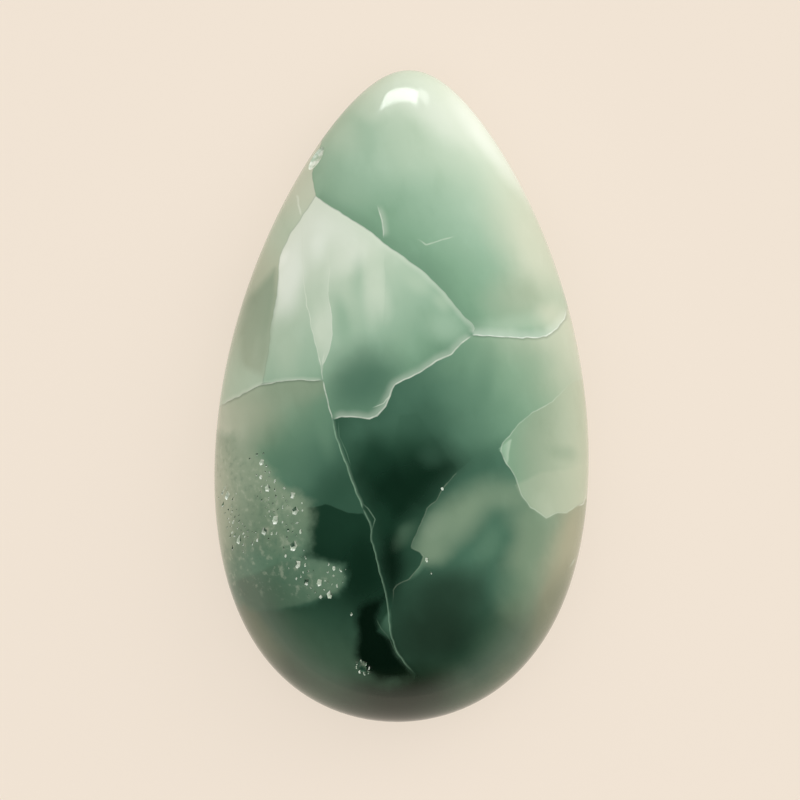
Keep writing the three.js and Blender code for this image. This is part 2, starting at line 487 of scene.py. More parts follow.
LIGHT_PANE = Pane(
    "light_pane",
    (*CAP_SEAM, *BRANCH, *LONG_MIDDLE[::-1], *LEFT_ARM[-2:3:-1], (-7.95, 0.8), *FLANK_EDGE[::-1]),
    Grade((-5.5, 10.0), (0.5, 0.0), (Tint.MILK, Tint.FROST, Tint.MIST, Tint.MINT, Tint.SAGE, Tint.JADE)),
    (
        Cloud((-2.5, 0.9), (2.6, 3.6), Tint.PINE, 0.8, turn=-38),
        Cloud((-1.4, 0.9), (2.2, 1.5), Tint.PINE, 0.5, turn=40),
        Cloud((-2.4, 8.2), (1.3, 3.0), Tint.MILK, 0.55, turn=-62),
        Cloud((-5.0, 8.6), (0.9, 1.4), Tint.SNOW, 0.5),
        Cloud((-6.6, 6.9), (1.3, 4.2), Tint.SNOW, 0.75, turn=-8),
        Cloud((-6.9, 8.05), (0.35, 0.9), Tint.SNOW, 0.7, turn=-14),
        Cloud((-4.7, 9.7), (1.9, 1.4), Tint.SNOW, 0.35, turn=-40),
        Cloud((-2.6, 7.1), (0.6, 1.7), Tint.CELADON, 0.22),
        Cloud((2.4, 5.3), (1.0, 0.7), Tint.MIST, 0.5, turn=-40),
        Cloud((-6.7, 2.8), (1.2, 2.6), Tint.MIST, 0.8),
        Cloud((2.6, 4.0), (1.9, 1.4), Tint.MINT, 0.7),
        Cloud((0.9, 6.4), (1.4, 0.9), Tint.MIST, 0.6, turn=-40),
        Cloud((-2.0, 6.0), (0.7, 1.8), Tint.MINT, 0.5, turn=20),
        Cloud((-3.4, 4.4), (0.8, 2.4), Tint.CELADON, 0.6, turn=12),
        Cloud((-1.0, 5.6), (0.6, 1.8), Tint.FROST, 0.4, turn=8),
    ),
    edge=0.14,
)
PALE_FOLD = Pane(
    "pale_fold",
    ((-1.1, 8.85), (-1.02, 7.0), (-1.06, 3.0), (-2.6, 2.0), (-4.6, 6.0), (-4.0, 10.6)),
    None,
    (
        Cloud((-1.5, 6.5), (1.0, 3.2), Tint.FROST, 0.75),
        Cloud((-3.2, 8.8), (1.6, 2.2), Tint.MILK, 0.45, turn=-30),
    ),
    edge=0.1,
)
LEAF = Pane(
    "leaf",
    (*LEAF_EDGE, *LONG_TOP[-2::-1]),
    None,
    (Cloud((-4.6, 3.9), (1.2, 3.0), Tint.FROST, 0.95),),
    edge=0.1,
)
FLANK = Pane(
    "flank",
    (*FLANK_EDGE, *LEFT_ARM[3::-1], (-FAR, -1.2), (-FAR, 18.0), (-4.6, 14.9), (-5.15, 12.9)),
    Grade((-6.2, 11.8), (-8.8, 0.8), (Tint.SAND, Tint.MIST, Tint.CREAM, Tint.WILLOW, Tint.WILLOW, Tint.MIST)),
    edge=0.12,
)
FLANK_SHADE = Pane(
    "flank_shade",
    ((-7.35, 7.4), (-9.1, 5.6), (-9.4, 4.0), (-9.3, 1.8), (-7.95, 1.2), (-7.7, 3.0), (-7.35, 5.4)),
    Grade((-8.0, 7.8), (-8.4, 1.4), (Tint.LICHEN, Tint.LICHEN, Tint.WILLOW)),
    edge=0.6,
)
CAP = Pane(
    "cap",
    (*CAP_SEAM, *SHELF, (9.9, 6.2), (FAR, 9.0), (FAR, FAR), (-3.6, FAR), (-4.6, 14.9), (-5.15, 12.9)),
    Grade((0.6, 6.6), (5.4, 13.2), (Tint.SAGE, Tint.SAGE, Tint.CELADON, Tint.MINT, Tint.MIST, Tint.FROST)),
    (
        Cloud((-3.0, 13.2), (3.6, 4.2), Tint.MINT, 0.7, turn=-20),
        Cloud((0.6, 14.6), (3.4, 3.4), Tint.MIST, 0.6),
        Cloud((7.6, 8.6), (3.4, 6.6), Tint.SAND, 0.9, turn=20),
        Cloud((6.8, 5.7), (2.9, 2.2), Tint.WILLOW, 0.7),
        Cloud((8.7, 4.6), (1.7, 1.3), Tint.SAND, 0.7),
        Cloud((6.4, 4.2), (3.2, 1.0), Tint.MIST, 0.5),
        Cloud((2.6, 16.4), (4.6, 2.2), Tint.MILK, 0.8, turn=-40),
        # Near-white streak along the upper right rim: the cap's pale edge, brightened as painted glow of
        # light through the thin edge.
        Cloud((4.9, 15.0), (7.0, 1.1), Tint.SNOW, 0.65, turn=-54),
        Cloud((-3.4, 15.0), (1.6, 2.2), Tint.MIST, 0.6, turn=40),
        Cloud((-1.2, 16.8), (1.8, 1.2), Tint.FROST, 0.4, turn=40),
        Cloud((1.6, 7.6), (3.4, 1.2), Tint.FERN, 0.4, turn=-42),
    ),
    edge=0.1,
)
PANES = (
    RIGHT_BODY, HEART, HEART_PLANE, CLOUD_BODY, LEFT_BODY, LEFT_FOOT, POCKET, POCKET_LOBE, ALMOND,
    FOOT_FACET, FOOT_DARK_AND_SHADE, FOOT_HAZE_AND_SHADE, SIDE, SIDE_LOW, SIDE_FACET, LIGHT_PANE, PALE_FOLD, LEAF, FLANK,
    FLANK_SHADE, CAP,
)


@dataclass(frozen=True)
class Pit:
    """A flat-bottomed crystal socket where the pocket breaks the polish.

    Attributes:
        place: its middle on the dome, in millimetres.
        width: across its mouth, in millimetres.
        turn: degrees about its own axis.
        sides: corners of its bottom.
        slim: its breadth over its length.
        pale_or_glint: True if its floor and every other side are painted white, as painted glints.
    """

    place: Point
    width: float
    turn: float = 0.0
    sides: int = 5
    slim: float = 1.0
    pale_or_glint: bool = True


# Every socket here carries painted glints: its floor and every other side are painted white.
PITS = (
    Pit((-10.15, -5.85), 0.42),
    Pit((-8.1, -3.85), 0.4, 37),
    Pit((-7.75, -5.35), 0.46, 74),
    Pit((-6.3, -5.75), 0.44, 111, 4),
    Pit((-6.15, -6.65), 0.52, 148),
    Pit((-7.3, -7.2), 0.5, 185, 6),
    Pit((-9.45, -8.4), 0.44, 222),
    Pit((-7.95, -7.85), 0.48, 259, 4),
    Pit((-6.25, -8.7), 0.56, 296),
    Pit((-6.0, -9.75), 0.46, 333),
    Pit((-5.5, -10.75), 0.42, 10, 4),
    Pit((-4.75, -10.8), 0.4, 47),
    Pit((-4.15, -11.5), 0.44, 84),
)

SPECKS = (
    Pit((-8.15, -4.7), 0.24, 20),
    Pit((-7.5, -7.95), 0.2, 60),
    Pit((-6.55, -7.75), 0.22, 15, 4),
    Pit((-8.35, -8.35), 0.18, 70),
    Pit((-6.7, -9.25), 0.2, 35),
    Pit((-3.9, -9.95), 0.24, 50),
    Pit((-2.9, -12.6), 0.2, 80, 4),
    Pit((2.35, -5.35), 0.2, 25),
    Pit((1.45, -9.45), 0.24, 65),
    Pit((1.7, -10.2), 0.18, 5, 4),
)

GLINT_TRAILS: tuple[Route, ...] = (
    ((-8.2, -3.6), (-7.9, -5.0), (-7.5, -6.6), (-7.2, -7.6), (-8.2, -8.2), (-9.6, -8.5)),
    ((-6.6, -5.5), (-6.1, -6.5), (-6.3, -7.9), (-6.3, -8.8), (-5.9, -9.8), (-5.5, -10.8)),
    ((-10.2, -5.7), (-9.7, -7.2), (-9.3, -8.3)),
    ((-5.2, -10.9), (-4.4, -11.3), (-3.7, -10.4), (-3.8, -9.9)),
)

# The hollow in the foot takes only the dark wall colour: dark crystal with painted shade.
FOOT_HOLLOW = Pit((-2.25, -15.75), 0.6, -38, 8, 0.7, pale_or_glint=False)
# A ring of small sockets with painted glints round the hollow.
FOOT_RING = (
    Pit((-1.92, -16.01), 0.18, 10, 4, 0.8),
    Pit((-1.88, -15.77), 0.15, 55, 5, 0.6),
    Pit((-2.06, -15.51), 0.18, 30, 4, 0.7),
    Pit((-2.35, -15.4), 0.17, 75, 5, 0.8),
    Pit((-2.58, -15.49), 0.18, 20, 4, 0.7),
    Pit((-2.61, -15.73), 0.15, 60, 5, 0.6),
    Pit((-2.43, -15.99), 0.17, 150, 4, 0.8),
    Pit((-2.15, -16.1), 0.18, 100, 5, 0.7),
)


@dataclass(frozen=True)
class Scar:
    """The bed of an old flake, shaped like the inside of a shell.

    Attributes:
        place: its middle on the dome, in millimetres.
        radii: half its breadth, length and depth, in millimetres.
        turn: degrees about the way outwards.
        tilt: degrees about its breadth.
    """

    place: Point = (-4.98, 13.8)
    radii: tuple[float, float, float] = (0.5, 0.95, 0.22)
    turn: float = -24.0
    tilt: float = -9.5


@dataclass
class StoneForm:
    """Sizes of the drop in millimetres: a sphere drawn out into an egg, its back eased onto the floor."""

    length: float = 38.0
    waist: float = 10.63
    taper: float = 2.52
    even_ease: float = 0.15
    tip_draw: float = 0.88
    tip_lean: float = 0.36
    flattening: float = 0.62
    girdle_height: float = 2.6
    rim_softening: float = 0.35
    centring: float = 0.08

    def breadth(self, b: np.ndarray | float) -> np.ndarray | float:
        """Half breadth before rounding off, at b from -1 (foot) to 1 (tip)."""
        return self.waist - self.taper * b - self.even_ease * b**2 - self.tip_draw * b**3

    def ground_flat(self, z: np.ndarray) -> np.ndarray:
        """Eases heights onto the resting plane, so that the back's rim is round.

        Args:
            z: heights, in millimetres.

        Returns:
            The eased heights.
        """
        soft = self.rim_softening
        eased = (z + soft) ** 2 / (4 * soft)
        return np.where(z >= soft, z, np.where(z <= -soft, 0.0, eased))

    def on_stone(self, ball: np.ndarray) -> np.ndarray:
        """Places points of the unit sphere on the stone.

        Args:
            ball: points of the unit sphere, one a row.

        Returns:
            The same points on the stone, in millimetres.
        """
        a, b, c = ball.T
        wide = self.breadth(b)
        x = a * wide + self.tip_lean * b + self.centring
        z = self.ground_flat(self.girdle_height + c * wide * self.flattening)
        return np.stack([x, b * self.length / 2, z], axis=1)

    def dome_height(self, x: np.ndarray, y: np.ndarray) -> np.ndarray:
        """Height of the dome over points of the plan, and the girdle's height outside it.

        Args:
            x: across the stone, in millimetres.
            y: along it, in millimetres.

        Returns:
            The heights, in millimetres.
        """
        b = np.clip(2 * y / self.length, -1, 1)
        wide = self.breadth(b)
        a = (x - self.centring - self.tip_lean * b) / wide
        c = np.sqrt(np.clip(1 - b**2 - a**2, 0, 1))
        return self.girdle_height + c * wide * self.flattening

    def seat(self, place: Point) -> tuple[Vector, Vector]:
        """The point of the dome over a place of the plan, and the outward direction there.

        Args:
            place: x and y, in millimetres.

        Returns:
            The point in millimetres, and a unit vector.
        """
        x, y = place
        step = 0.05
        slope_x = self._height(x + step, y) - self._height(x - step, y)
        slope_y = self._height(x, y + step) - self._height(x, y - step)
        outward = Vector((-slope_x, -slope_y, 2 * step)).normalized()
        return Vector((x, y, self._height(x, y))), outward

    def _height(self, x: float, y: float) -> float:
        """Height of the dome over one point of the plan."""
        return float(self.dome_height(np.array(x), np.array(y)))


def signed_offset(points: np.ndarray, route: Route, closed: bool) -> tuple[np.ndarray, np.ndarray]:
    """Measures points against a route.

    Args:
        points: x and y of each point, one a row.
        route: the route's points.
        closed: True if the route ends where it starts.

    Returns:
        The distance of each point from the route, positive on its left or inside it, and how far along
        the route the nearest place is. An open route runs on straight past its two ends.
    """
    line = np.array(route, float)
    if closed:
        line = np.vstack([line, line[:1]])
        if polygon_area(line) < 0:
            line = line[::-1]
    line = line[np.append(True, np.any(np.diff(line, axis=0) != 0, axis=1))]
    start, step = line[:-1], np.diff(line, axis=0)
    length = np.linalg.norm(step, axis=1)
    reached = np.concatenate([[0], np.cumsum(length)])
    normal = np.stack([-step[:, 1], step[:, 0]], axis=1) / length[:, None]
    share = ((points[:, None] - start) * step).sum(2) / length**2
    low, high = np.zeros(len(step)), np.ones(len(step))
    if not closed:
        low[0], high[-1] = -FAR, FAR
    held = np.clip(share, low, high)
    gap = points[:, None] - (start + held[..., None] * step)
    near = (gap**2).sum(2).argmin(1)
    rows = np.arange(len(points))
    at = held[rows, near]
    before = np.roll(normal, 1, axis=0)
    after = np.roll(normal, -1, axis=0)
    facing = normal[near] + (at <= 0)[:, None] * before[near] + (at >= 1)[:, None] * after[near]
    if not closed:
        ends = ((near == 0) & (at <= 0)) | ((near == len(step) - 1) & (at >= 1))
        facing[ends] = normal[near[ends]]
    away = gap[rows, near]
    side = np.where((away * facing).sum(1) >= 0, 1.0, -1.0)
    return side * np.linalg.norm(away, axis=1), reached[near] + at * length[near]


def polygon_area(line: np.ndarray) -> float:
    """Area inside a closed line, positive if it runs anticlockwise.

    Args:
        line: its points, one a row, the last one like the first.

    Returns:
        The area.
    """
    x, y = line[:-1].T
    x_next, y_next = line[1:].T
    return float((x * y_next - x_next * y).sum() / 2)


def route_length(route: Route) -> float:
    """Length of a route, in millimetres."""
    return float(np.linalg.norm(np.diff(np.array(route), axis=0), axis=1).sum())


def smoothstep(value: np.ndarray, low: float, high: float) -> np.ndarray:
    """Rises smoothly from 0 at low to 1 at high."""
    share = np.clip((value - low) / (high - low), 0, 1)
    return share * share * (3 - 2 * share)


class NodeGraph:
    """A short way to write a material's nodes."""

    def __init__(self, name: str) -> None:
        """Makes an empty material of that name.

        Args:
            name: what the material is called.
        """
        self.material = bpy.data.materials.new(name)
        self.material.use_nodes = True
        self.tree = self.material.node_tree
        self.tree.nodes.clear()

    def node(self, kind: str, **settings: object) -> bpy.types.Node:
        """Adds a node.

        Args:
            kind: Blender's name for it, less ShaderNode.
            settings: its properties.

        Returns:
            The node.
        """
        made = self.tree.nodes.new("ShaderNode" + kind)
        for name, value in settings.items():
            setattr(made, name, value)
        return made

    def feed(self, target: Socket, value: object) -> None:
        """Links a socket to target, or sets target to a plain value.

        Args:
            target: the input.
            value: a socket, a number or a colour.
        """
        if isinstance(value, bpy.types.NodeSocket):
            self.tree.links.new(value, target)
        else:
            target.default_value = value

    def math(self, operation: str, *values: Value) -> Socket:
        """One step of arithmetic on numbers.

        Args:
            operation: Blender's name for it.
            values: the numbers, in order.

        Returns:
            The result.
        """
        made = self.node("Math", operation=operation)
        for target, value in zip(made.inputs, values):
            self.feed(target, value)
        return made.outputs[0]

    def ramp(self, value: Value, low: float, high: float, start: float = 0.0, end: float = 1.0) -> Socket:
        """Goes smoothly from start to end as value goes from low to high.

        Args:
            value: what drives it.
            low: the value at the start.
            high: the value at the end.
            start: the result up to low.
            end: the result past high.

        Returns:
            The result.
        """
        made = self.node("MapRange", interpolation_type="SMOOTHSTEP")
        names = ("Value", "From Min", "From Max", "To Min", "To Max")
        for name, given in zip(names, (value, low, high, start, end)):
            self.feed(made.inputs[name], given)
        return made.outputs["Result"]

    def mix(self, share: Value, under: object, over: object, blend: str = "MIX") -> Socket:
        """Lays one colour over another by a share.

        Args:
            share: how much of the upper colour shows, from 0 to 1.
            under: the lower colour.
            over: the upper colour.
            blend: how they are blended.

        Returns:
            The new colour.
        """
        made = self.node("Mix", data_type="RGBA", blend_type=blend)
        self.feed(made.inputs[0], share)
        self.feed(made.inputs[6], under)
        self.feed(made.inputs[7], over)
        return made.outputs[2]

    def attribute(self, name: str) -> bpy.types.Node:
        """Reads an attribute of the mesh."""
        return self.node("Attribute", attribute_type="GEOMETRY", attribute_name=name)

    def noise(self, place: Socket, scale: float, detail: float = 3.0, colour: bool = False) -> Socket:
        """Smooth noise on a place in millimetres.

        Args:
            place: where it is read.
            scale: waves per millimetre.
            detail: number of finer layers.
            colour: True for three channels instead of one.

        Returns:
            The noise, from 0 to 1.
        """
        made = self.node("TexNoise")
        self.feed(made.inputs["Vector"], place)
        self.feed(made.inputs["Scale"], scale)
        self.feed(made.inputs["Detail"], detail)
        return made.outputs["Color" if colour else "Fac"]


@dataclass(frozen=True)
class StoneFinish:
    """Polished hemimorphite: clouds and panes of green under a clear gloss.

    Attributes:
        warp: how far noise bends the clouds, in millimetres.
        warp_scale: waves of that noise per millimetre.
        fray_scale: waves per millimetre of the noise that frays the panes.
        veil_and_sheen: how strong the pale bands beside cracks are, milky sheet and painted reflection, from
            0 to 1.
        band_start: how far past a crack the bands beside it begin, in millimetres.
        beat_scale: waves per millimetre of the noise that makes the threads come and go.
        core: breadth of a thread's full middle, over its whole breadth.
        streaks: how strong the milky streaks are, from 0 to 1.
        streak_scale: waves per millimetre across them.
        streak_reach: how far they are drawn out, across, along and through the stone.
        streak_turn: degrees that they lean to the left.
        grain: how strong the pocket's grains are, from 0 to 1.
        grain_scale: waves of them per millimetre.
        grain_reach: how far inside the pocket's edge they are full, fade and end, in millimetres.
        grain_wisps: how far noise frays that, in millimetres.
        roughness: of the polish.
        lapped: roughness of the ground back.
        lapped_rim: heights between which the lapping gives way to the polish, in millimetres.
    """

    warp: float = 0.7
    warp_scale: float = 0.22
    fray_scale: float = 0.9
    veil_and_sheen: float = 0.3
    band_start: float = 0.04
    beat_scale: float = 1.7
    core: float = 0.3
    streaks: float = 0.14
    streak_scale: float = 0.55
    streak_reach: tuple[float, float, float] = (1.0, 1.7, 1.4)
    streak_turn: float = 14.0
    grain: float = 0.3
    grain_scale: float = 2.4
    grain_reach: tuple[float, float, float] = (1.2, 2.5, 5.0)
    grain_wisps: float = 0.6
    roughness: float = 0.11
    lapped: float = 0.34
    lapped_rim: Point = (0.02, 0.3)

    def material(
        self, form: StoneForm, panes: tuple[Pane, ...], cracks: tuple[Crack, ...]
    ) -> bpy.types.Material:
        """Builds the node material.

        Args:
            form: the stone's sizes.
            panes: the panes, the first lowest.
            cracks: the cracks, drawn over the panes.

        Returns:
            The material.
        """
        graph = NodeGraph("polished_hemimorphite")
        place = self._millimetres(graph)
        drifted = self._drift(graph, place)
        fray = graph.math("SUBTRACT", graph.noise(place, self.fray_scale, 5.0), 0.5)
        colour: object = Tint.PINE.linear()
        for pane in panes:
            colour = self._lay_pane(graph, form, pane, colour, drifted, fray)
        colour = self._mottle(graph, place, colour)
        colour = self._druse(graph, place, colour, fray)
        for crack in cracks:
            colour = self._draw_crack(graph, place, crack, colour)
        self._surface(graph, place, colour)
        return graph.material

    def _millimetres(self, graph: NodeGraph) -> Socket:
        """The place on the piece, in millimetres.

        Args:
            graph: the material's nodes.

        Returns:
            The place.
        """
        scaled = graph.node("VectorMath", operation="SCALE")
        graph.feed(scaled.inputs[0], graph.node("TexCoord").outputs["Object"])
        scaled.inputs["Scale"].default_value = 1 / MM
        return scaled.outputs[0]

    def _drift(self, graph: NodeGraph, place: Socket) -> Socket:
        """The place moved about by slow noise, so that no cloud is a plain ellipse.

        Args:
            graph: the material's nodes.
            place: the place on the piece, in millimetres.

        Returns:
            The moved place.
        """
        centred = graph.node("VectorMath", operation="SUBTRACT")
        graph.feed(centred.inputs[0], graph.noise(place, self.warp_scale, 3.0, colour=True))
        centred.inputs[1].default_value = (0.5, 0.5, 0.5)
        moved = graph.node("VectorMath", operation="MULTIPLY_ADD")
        graph.feed(moved.inputs[0], centred.outputs[0])
        moved.inputs[1].default_value = (2 * self.warp,) * 3
        graph.feed(moved.inputs[2], place)
        return moved.outputs[0]

    def _lay_pane(
        self, graph: NodeGraph, form: StoneForm, pane: Pane, colour: object, drifted: Socket, fray: Socket
    ) -> Socket:
        """Lays a pane and its clouds over a colour.

        Args:
            graph: the material's nodes.
            form: the stone's sizes.
            pane: the pane.
            colour: what is under it.
            drifted: the place that clouds read.
            fray: noise from -0.5 to 0.5 for the pane's edge.

        Returns:
            The new colour.
        """
        inside = graph.attribute("pane_" + pane.name).outputs["Fac"]
        if pane.wisps:
            inside = graph.math("MULTIPLY_ADD", fray, 2 * pane.wisps, inside)
        mask = graph.ramp(inside, -pane.edge / 2, pane.edge / 2, 0.0, pane.cover)
        if pane.ground is not None:
            colour = graph.mix(mask, colour, self._grade(graph, pane.ground, drifted))
        for cloud in pane.clouds:
            share = self._cloud_share(graph, form, cloud, drifted)
            colour = graph.mix(graph.math("MULTIPLY", share, mask), colour, cloud.tint.linear())
        return colour

    def _grade(self, graph: NodeGraph, grade: Grade, drifted: Socket) -> Socket:
        """The colour of a slow change at each place.

        Args:
            graph: the material's nodes.
            grade: the change of colour.
            drifted: the place that clouds read.

        Returns:
            The colour.
        """
        start, end = Vector((*grade.start, 0.0)), Vector((*grade.end, 0.0))
        line = end - start
        away = graph.node("VectorMath", operation="SUBTRACT")
        graph.feed(away.inputs[0], drifted)
        away.inputs[1].default_value = start
        along = graph.node("VectorMath", operation="DOT_PRODUCT")
        graph.feed(along.inputs[0], away.outputs[0])
        along.inputs[1].default_value = line / line.length_squared
        ramp = graph.node("ValToRGB")
        graph.feed(ramp.inputs[0], along.outputs["Value"])
        stops = ramp.color_ramp
        stops.interpolation = "EASE" if len(grade.tints) == 2 else "B_SPLINE"
        stops.elements.remove(stops.elements[1])
        for index, tint in enumerate(grade.tints):
            share = index / (len(grade.tints) - 1)
            stop = stops.elements[0] if index == 0 else stops.elements.new(share)
            stop.color = tint.linear()
        return ramp.outputs["Color"]

    def _cloud_share(self, graph: NodeGraph, form: StoneForm, cloud: Cloud, drifted: Socket) -> Socket:
        """How much a cloud covers at each place, from 0 to its strength.

        Args:
            graph: the material's nodes.
            form: the stone's sizes.
            cloud: the cloud.
            drifted: the place that clouds read.

        Returns:
            The share.
        """
        middle, _ = form.seat(cloud.place)
        box = graph.node("Mapping", vector_type="TEXTURE")
        graph.feed(box.inputs["Vector"], drifted)
        box.inputs["Location"].default_value = middle
        box.inputs["Rotation"].default_value = (0.0, 0.0, math.radians(cloud.turn))
        box.inputs["Scale"].default_value = (*cloud.reach, cloud.depth)
        ball = graph.node("TexGradient", gradient_type="SPHERICAL")
        graph.feed(ball.inputs["Vector"], box.outputs[0])
        return graph.ramp(ball.outputs["Fac"], 0.0, 0.9, 0.0, cloud.strength)

    def _mottle(self, graph: NodeGraph, place: Socket, colour: object) -> Socket:
        """Milky and clear streaks all through the stone.

        Args:
            graph: the material's nodes.
            place: the place on the piece, in millimetres.
            colour: what is under it.

        Returns:
            The new colour.
        """
        stretched = graph.node("Mapping", vector_type="TEXTURE")
        graph.feed(stretched.inputs["Vector"], place)
        stretched.inputs["Rotation"].default_value = (0.0, 0.0, math.radians(self.streak_turn))
        stretched.inputs["Scale"].default_value = self.streak_reach
        streaks = graph.noise(stretched.outputs[0], self.streak_scale, 4.0)
        for start, full, grey in ((0.52, 0.8, 1.0), (0.48, 0.2, 0.0)):
            share = graph.ramp(streaks, start, full, 0.0, self.streaks)
            colour = graph.mix(share, colour, (grey, grey, grey, 1.0), "SOFT_LIGHT")
        return colour

    def _druse(self, graph: NodeGraph, place: Socket, colour: object, fray: Socket) -> Socket:
        """Grains and flecks of the crystal pocket.

        Args:
            graph: the material's nodes.
            place: the place on the piece, in millimetres.
            colour: what is under it.
            fray: noise from -0.5 to 0.5 for the pocket's edge.

        Returns:
            The new colour.
        """
        full, fading, end = self.grain_reach
        edge = graph.attribute("pane_pocket").outputs["Fac"]
        inside = graph.math("MULTIPLY_ADD", fray, 2 * self.grain_wisps, edge)
        mask = graph.math("MULTIPLY", graph.ramp(inside, 0.0, full), graph.ramp(inside, end, fading))
        grain = graph.noise(place, self.grain_scale, 5.0)
        for start, most, tint in ((0.52, 0.72, Tint.SAND), (0.48, 0.3, Tint.PINE)):
            share = graph.math("MULTIPLY", mask, graph.ramp(grain, start, most, 0.0, self.grain))
            colour = graph.mix(share, colour, tint.linear())
        return colour

    def _draw_crack(self, graph: NodeGraph, place: Socket, crack: Crack, colour: object) -> Socket:
        """Draws a crack's painted shadow band, its pale band of milky sheet and painted reflection, and its
        thread over a colour.

        Args:
            graph: the material's nodes.
            place: the place on the piece, in millimetres.
            crack: the crack.
            colour: what is under it.

        Returns:
            The new colour.
        """
        parts = graph.node("SeparateXYZ")
        graph.feed(parts.inputs[0], graph.attribute("crack_" + crack.name).outputs["Vector"])
        offset, fade = parts.outputs["X"], parts.outputs["Y"]
        beat = graph.ramp(graph.noise(place, self.beat_scale, 2.0), 0.25, 0.7, 0.45, 1.0)
        # Painted shadow on the crack's right side.
        if crack.shade:
            dark = graph.math("MULTIPLY", self._band(graph, offset, -crack.shade), fade)
            colour = graph.mix(graph.math("MULTIPLY", dark, crack.depth), colour, Tint.BOTTLE.linear())
        # Pale band on the crack's left: the milky sheet, brightened as painted reflection.
        if crack.veil_and_sheen:
            pale = graph.math("MULTIPLY", self._band(graph, offset, crack.veil_and_sheen), fade)
            colour = graph.mix(graph.math("MULTIPLY", pale, self.veil_and_sheen), colour, crack.tint.linear())
        away = graph.math("ABSOLUTE", offset)
        thread = graph.ramp(away, crack.width / 2, self.core * crack.width / 2, 0.0, crack.glow)
        thread = graph.math("MULTIPLY", graph.math("MULTIPLY", thread, fade), beat)
        return graph.mix(thread, colour, crack.tint.linear())

    def _band(self, graph: NodeGraph, offset: Socket, reach: float) -> Socket:
        """A band beside a crack, full at the crack and gone at reach, on the side that reach points to.

        Args:
            graph: the material's nodes.
            offset: distance from the crack, positive on its left.
            reach: breadth of the band, in millimetres, negative on the right.

        Returns:
            How strong the band is, from 0 to 1.
        """
        step = math.copysign(self.band_start, reach)
        side = graph.ramp(offset, -step, step)
        return graph.math("MULTIPLY", side, graph.ramp(offset, reach, 0.0))

    def _surface(self, graph: NodeGraph, place: Socket, colour: object) -> None:
        """The shader: the colour under a clear polish, duller on the ground back.

        Args:
            graph: the material's nodes.
            place: the place on the piece, in millimetres.
            colour: the stone's colour.
        """
        shader = graph.node("BsdfPrincipled")
        graph.feed(shader.inputs["Base Color"], colour)
        parts = graph.node("SeparateXYZ")
        graph.feed(parts.inputs[0], place)
        dullness = graph.ramp(parts.outputs["Z"], *self.lapped_rim, self.lapped, self.roughness)
        graph.feed(shader.inputs["Roughness"], dullness)
        shader.inputs["IOR"].default_value = REFRACTION
        output = graph.node("OutputMaterial")
        graph.feed(output.inputs["Surface"], shader.outputs[0])


@dataclass(frozen=True)
class BareCrystal:
    """Crystal laid bare by a break, cloudy between two tints.

    Attributes:
        name: what the material is called.
        dull: its darker tint.
        pale_or_glint: its lighter tint; on the sockets' faces, the white of the painted glints.
        grain: waves of its clouding per millimetre.
        layers: number of finer layers in that.
        roughness: of its faces.
    """

    name: str
    dull: Tint
    pale_or_glint: Tint
    grain: float = 2.2
    layers: float = 2.0
    roughness: float = 0.16

    def material(self) -> bpy.types.Material:
        """Builds the node material.

        Returns:
            The material.
        """
        graph = NodeGraph(self.name)
        shader = graph.node("BsdfPrincipled")
        place = graph.node("TexCoord").outputs["Object"]
        cloudy = graph.ramp(graph.noise(place, self.grain / MM, self.layers), 0.35, 0.65)
        graph.feed(shader.inputs["Base Color"], graph.mix(cloudy, self.dull.linear(), self.pale_or_glint.linear()))
        shader.inputs["Roughness"].default_value = self.roughness
        shader.inputs["IOR"].default_value = REFRACTION
        graph.feed(graph.node("OutputMaterial").inputs["Surface"], shader.outputs[0])
        return graph.material


# Socket walls: dark crystal, darker than the pocket around them as painted shade beside the painted glints.
SOCKET_WALL_AND_SHADE = BareCrystal("socket_wall_and_shade", Tint.BOTTLE, Tint.HAZE)
# Painted glints: white socket faces stand for the sparkle of the pocket's crystals.
PAINTED_GLINT_FACE = BareCrystal("painted_glint_face", Tint.FROST, Tint.SNOW)
FLAKE_BED = BareCrystal("flake_bed", Tint.MIST, Tint.SNOW, grain=3.0, layers=4.0, roughness=0.3)


